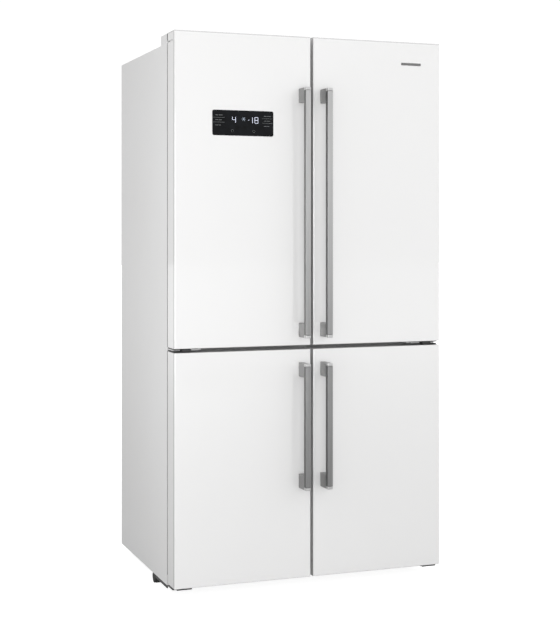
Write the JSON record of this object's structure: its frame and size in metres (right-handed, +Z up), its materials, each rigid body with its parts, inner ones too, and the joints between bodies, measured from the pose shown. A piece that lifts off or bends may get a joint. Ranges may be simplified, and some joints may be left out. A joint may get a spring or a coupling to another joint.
{
  "type": "french door refrigerator",
  "caption": "Free-standing refrigerator with two upper french doors, two lower freezer doors, long square bar handles and a flush touch display.",
  "frame": {"origin": "on the floor, under the centre of the bounding box", "axes": "+X to the right seen from the front, +Y from the doors to the back, +Z up"},
  "size_m": [0.92, 0.755, 1.78],
  "materials": {
    "door_white": "gloss",
    "panel_white": "satin",
    "back_grey": "satin",
    "base_black": "satin",
    "hinge_white": "satin",
    "liner_white": "satin",
    "cover_white": "satin",
    "foam": "matt",
    "gasket_grey": "matt",
    "handle_steel": "brushed",
    "display_black": "gloss",
    "shelf_glass": "gloss",
    "trim_silver": "satin",
    "clear_plastic": "gloss",
    "drawer_plastic": "gloss",
    "lamp": "gloss",
    "fin_aluminium": "satin",
    "coil_black": "satin",
    "compressor_black": "gloss",
    "black_plastic": "matt",
    "fan_plastic": "matt",
    "mullion_white": "satin"
  },
  "bodies": {
    "cabinet": {"side_panel_left": "panel_white", "side_panel_right": "panel_white", "top_panel": "panel_white", "back_panel": "back_grey", "base_pan": "base_black", "cabinet_foam": "foam", "top_cover": "cover_white", "upper_hinges": "hinge_white", "middle_hinges": "hinge_white", "lower_hinges": "base_black", "fridge_liner": "liner_white", "freezer_liner_left": "liner_white", "freezer_liner_right": "liner_white", "front_divider": "liner_white", "glass_shelves": "shelf_glass", "shelf_trims": "trim_silver", "crisper_cover": "shelf_glass", "fridge_air_duct": "liner_white", "freezer_air_ducts": "liner_white", "interior_lamps": "lamp", "evaporator": "fin_aluminium", "condenser": "coil_black", "compressor": "compressor_black", "evaporation_tray": "black_plastic", "rear_grille": "black_plastic", "mains_inlet": "black_plastic"},
    "door_upper_left": {"door_skin_upper_left": "door_white", "door_liner_upper_left": "liner_white", "door_gasket_upper_left": "gasket_grey", "handle_upper_left": "handle_steel", "door_bins_left": "clear_plastic", "control_panel": "display_black"},
    "door_upper_right": {"door_skin_upper_right": "door_white", "door_liner_upper_right": "liner_white", "door_gasket_upper_right": "gasket_grey", "handle_upper_right": "handle_steel", "door_bins_right": "clear_plastic"},
    "door_lower_left": {"door_skin_lower_left": "door_white", "door_liner_lower_left": "liner_white", "door_gasket_lower_left": "gasket_grey", "handle_lower_left": "handle_steel"},
    "door_lower_right": {"door_skin_lower_right": "door_white", "door_liner_lower_right": "liner_white", "door_gasket_lower_right": "gasket_grey", "handle_lower_right": "handle_steel"},
    "mullion": {"door_mullion": "mullion_white"},
    "crisper_left": {"crisper_left": "clear_plastic"},
    "freezer_drawer_left_bottom": {"freezer_drawer_left_bottom": "drawer_plastic"},
    "freezer_drawer_left_middle": {"freezer_drawer_left_middle": "drawer_plastic"},
    "freezer_drawer_left_top": {"freezer_drawer_left_top": "drawer_plastic"},
    "crisper_right": {"crisper_right": "clear_plastic"},
    "freezer_drawer_right_bottom": {"freezer_drawer_right_bottom": "drawer_plastic"},
    "freezer_drawer_right_middle": {"freezer_drawer_right_middle": "drawer_plastic"},
    "freezer_drawer_right_top": {"freezer_drawer_right_top": "drawer_plastic"},
    "foot_left": {"foot_left": "black_plastic"},
    "foot_right": {"foot_right": "black_plastic"},
    "front_rollers": {"front_rollers": "black_plastic"},
    "rear_rollers": {"rear_rollers": "black_plastic"},
    "evaporator_fan": {"evaporator_fan": "fan_plastic"},
    "condenser_fan": {"condenser_fan": "fan_plastic"}
  },
  "joints": [
    {"name": "door_upper_left_hinge", "type": "hinge", "parent": "cabinet", "child": "door_upper_left", "pos_m": [-0.44, -0.2655, 0.783], "axis": [0, 0, -1], "range_deg": [0, 118]},
    {"name": "door_upper_right_hinge", "type": "hinge", "parent": "cabinet", "child": "door_upper_right", "pos_m": [0.44, -0.2655, 0.783], "axis": [0, 0, 1], "range_deg": [0, 118]},
    {"name": "door_lower_left_hinge", "type": "hinge", "parent": "cabinet", "child": "door_lower_left", "pos_m": [-0.44, -0.2655, 0.038], "axis": [0, 0, -1], "range_deg": [0, 118]},
    {"name": "door_lower_right_hinge", "type": "hinge", "parent": "cabinet", "child": "door_lower_right", "pos_m": [0.44, -0.2655, 0.038], "axis": [0, 0, 1], "range_deg": [0, 118]},
    {"name": "mullion_hinge", "type": "hinge", "parent": "door_upper_left", "child": "mullion", "pos_m": [-0.036, -0.2175, 0.84], "axis": [0, 0, -1], "range_deg": [0, 90]},
    {"name": "crisper_left_slide", "type": "slide", "parent": "cabinet", "child": "crisper_left", "axis": [0, -1, 0], "range_m": [0, 0.212]},
    {"name": "freezer_drawer_left_bottom_slide", "type": "slide", "parent": "cabinet", "child": "freezer_drawer_left_bottom", "axis": [0, -1, 0], "range_m": [0, 0.185]},
    {"name": "freezer_drawer_left_middle_slide", "type": "slide", "parent": "cabinet", "child": "freezer_drawer_left_middle", "axis": [0, -1, 0], "range_m": [0, 0.185]},
    {"name": "freezer_drawer_left_top_slide", "type": "slide", "parent": "cabinet", "child": "freezer_drawer_left_top", "axis": [0, -1, 0], "range_m": [0, 0.185]},
    {"name": "crisper_right_slide", "type": "slide", "parent": "cabinet", "child": "crisper_right", "axis": [0, -1, 0], "range_m": [0, 0.212]},
    {"name": "freezer_drawer_right_bottom_slide", "type": "slide", "parent": "cabinet", "child": "freezer_drawer_right_bottom", "axis": [0, -1, 0], "range_m": [0, 0.185]},
    {"name": "freezer_drawer_right_middle_slide", "type": "slide", "parent": "cabinet", "child": "freezer_drawer_right_middle", "axis": [0, -1, 0], "range_m": [0, 0.185]},
    {"name": "freezer_drawer_right_top_slide", "type": "slide", "parent": "cabinet", "child": "freezer_drawer_right_top", "axis": [0, -1, 0], "range_m": [0, 0.185]},
    {"name": "foot_left_screw", "type": "hinge", "parent": "cabinet", "child": "foot_left", "pos_m": [-0.4, -0.139, 0], "axis": [0, 0, 1], "continuous": true},
    {"name": "foot_right_screw", "type": "hinge", "parent": "cabinet", "child": "foot_right", "pos_m": [0.4, -0.139, 0], "axis": [0, 0, 1], "continuous": true},
    {"name": "front_rollers_spin", "type": "hinge", "parent": "cabinet", "child": "front_rollers", "pos_m": [0, -0.0685, 0.02], "axis": [1, 0, 0], "continuous": true},
    {"name": "rear_rollers_spin", "type": "hinge", "parent": "cabinet", "child": "rear_rollers", "pos_m": [0, 0.3275, 0.02], "axis": [1, 0, 0], "continuous": true},
    {"name": "evaporator_fan_spin", "type": "hinge", "parent": "cabinet", "child": "evaporator_fan", "pos_m": [-0.219, 0.2495, 0.64], "axis": [0, 1, 0], "continuous": true},
    {"name": "condenser_fan_spin", "type": "hinge", "parent": "cabinet", "child": "condenser_fan", "pos_m": [0.1255, 0.26875, 0.12], "axis": [1, 0, 0], "continuous": true}
  ],
  "couplings": [
    {"joint": "crisper_left_slide", "follows": "door_upper_left_hinge", "m_per_rad": 0.10284},
    {"joint": "freezer_drawer_left_bottom_slide", "follows": "door_lower_left_hinge", "m_per_rad": 0.089731},
    {"joint": "freezer_drawer_left_middle_slide", "follows": "door_lower_left_hinge", "m_per_rad": 0.089731},
    {"joint": "freezer_drawer_left_top_slide", "follows": "door_lower_left_hinge", "m_per_rad": 0.089731},
    {"joint": "crisper_right_slide", "follows": "door_upper_right_hinge", "m_per_rad": 0.10284},
    {"joint": "freezer_drawer_right_bottom_slide", "follows": "door_lower_right_hinge", "m_per_rad": 0.089731},
    {"joint": "freezer_drawer_right_middle_slide", "follows": "door_lower_right_hinge", "m_per_rad": 0.089731},
    {"joint": "freezer_drawer_right_top_slide", "follows": "door_lower_right_hinge", "m_per_rad": 0.089731}
  ]
}
